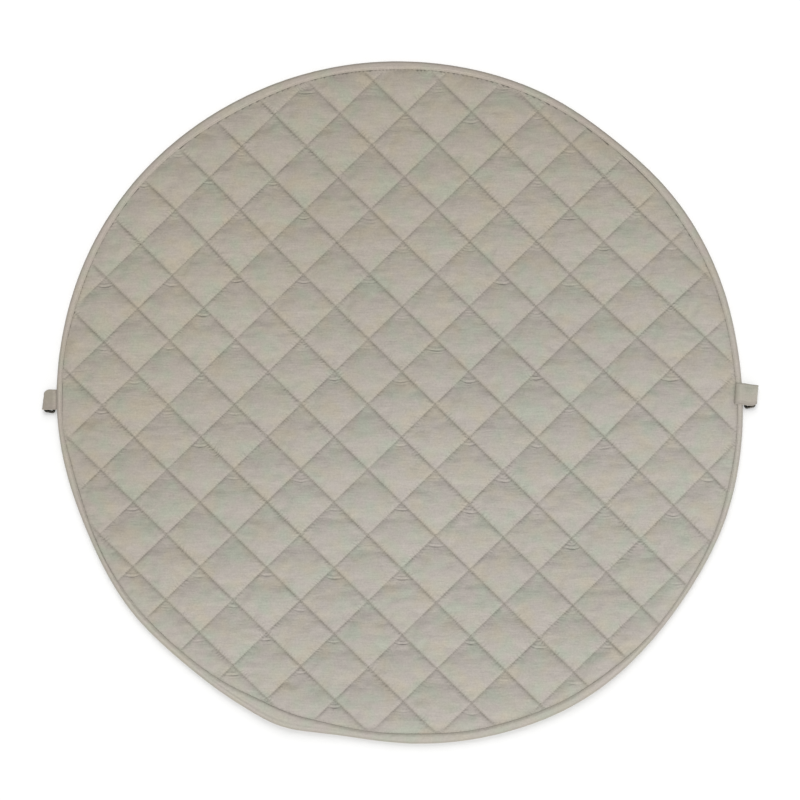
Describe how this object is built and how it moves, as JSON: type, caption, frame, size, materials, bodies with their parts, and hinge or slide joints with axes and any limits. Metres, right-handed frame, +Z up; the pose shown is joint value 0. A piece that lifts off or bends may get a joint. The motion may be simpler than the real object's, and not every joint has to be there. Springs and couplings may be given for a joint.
{
  "type": "baby play mat",
  "caption": "Round padded play mat of diamond-quilted cotton with a bound edge and a strip tab with a wire ring on each side, lying flat.",
  "frame": {"origin": "middle of the mat at the level of the surface that it lies on", "axes": "+Z up out of the quilted face, +X towards the tab that is sewn on top of the binding, +Y across"},
  "size_m": [1.0432, 0.9966, 0.014],
  "materials": {
    "face_cotton": "plain-woven washed cotton in warm grey beige, matt, softly creased between the rows of stitching",
    "binding_cotton": "the same cotton as a folded strip, matt, with a row of stitching near its inner edge",
    "dark_metal": "black nickel on steel wire, semi-gloss with slight wear"
  },
  "bodies": {
    "root": {"quilted_pad": "face_cotton", "edge_binding": "binding_cotton", "tab_left": "binding_cotton", "tab_right": "binding_cotton", "ring_left": "dark_metal", "ring_right": "dark_metal"}
  },
  "joints": []
}
